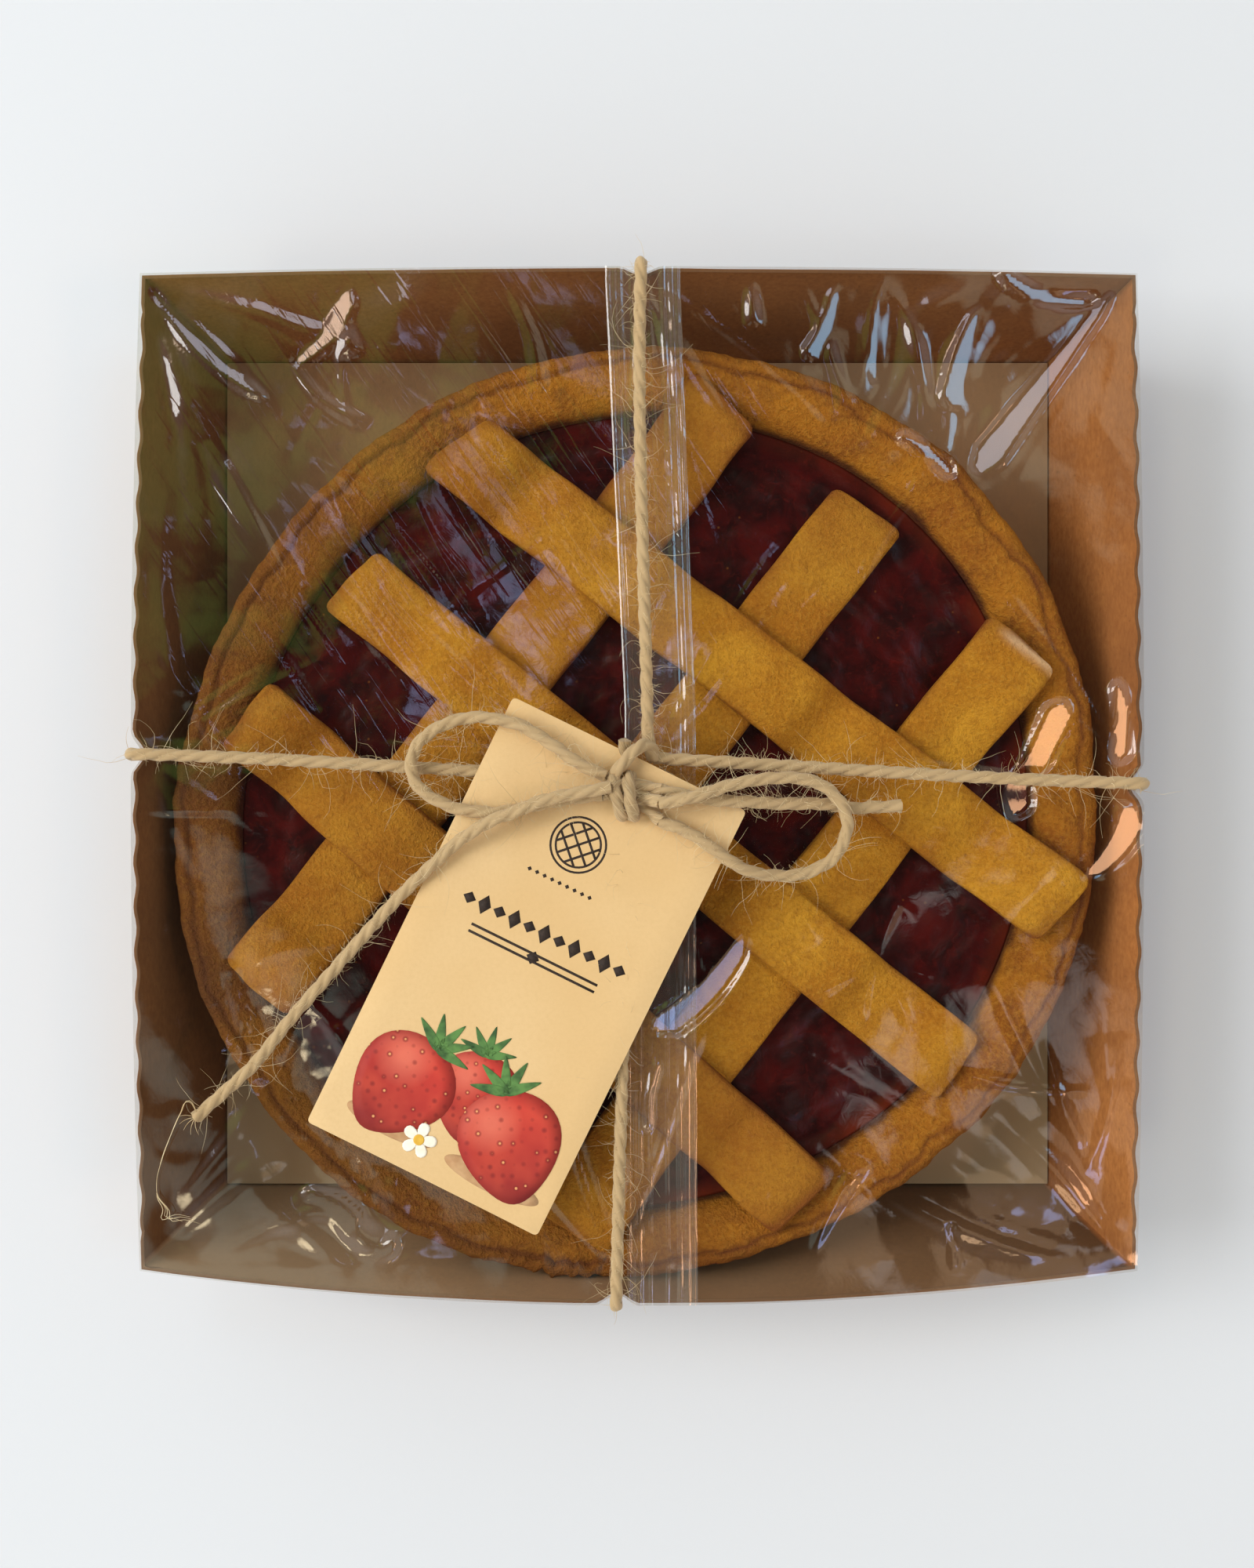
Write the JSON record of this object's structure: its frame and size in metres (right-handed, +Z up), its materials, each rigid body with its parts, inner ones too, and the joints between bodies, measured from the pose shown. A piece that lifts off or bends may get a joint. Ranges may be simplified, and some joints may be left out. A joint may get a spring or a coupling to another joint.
{
  "type": "wrapped jam crostata",
  "caption": "Round lattice jam crostata in a flared kraft board tray, shut in clear film and tied crosswise with jute twine that holds a paper tag.",
  "frame": {"origin": "middle of the pack's base, on the surface it stands on", "axes": "+Z up; +Y towards the back edge, the top of the picture; +X right"},
  "size_m": [0.2399, 0.2457, 0.0558],
  "materials": {
    "tray_board": "matte",
    "crust": "matte",
    "lattice": "matte",
    "jam": "gloss",
    "film": "gloss",
    "card": "matte",
    "twine": "matte"
  },
  "bodies": {
    "root": {"tray": "tray_board", "crust": "crust", "jam": "jam", "strip_lower_1": "lattice", "strip_lower_2": "lattice", "strip_lower_3": "lattice", "strip_upper_1": "lattice", "strip_upper_2": "lattice", "strip_upper_3": "lattice", "film": "film", "label": "card", "twine_across": "twine", "twine_back": "twine", "twine_front": "twine", "knot": "twine", "bow_left": "twine", "bow_right": "twine", "tail_long": "twine", "tail_short": "twine"}
  },
  "joints": []
}
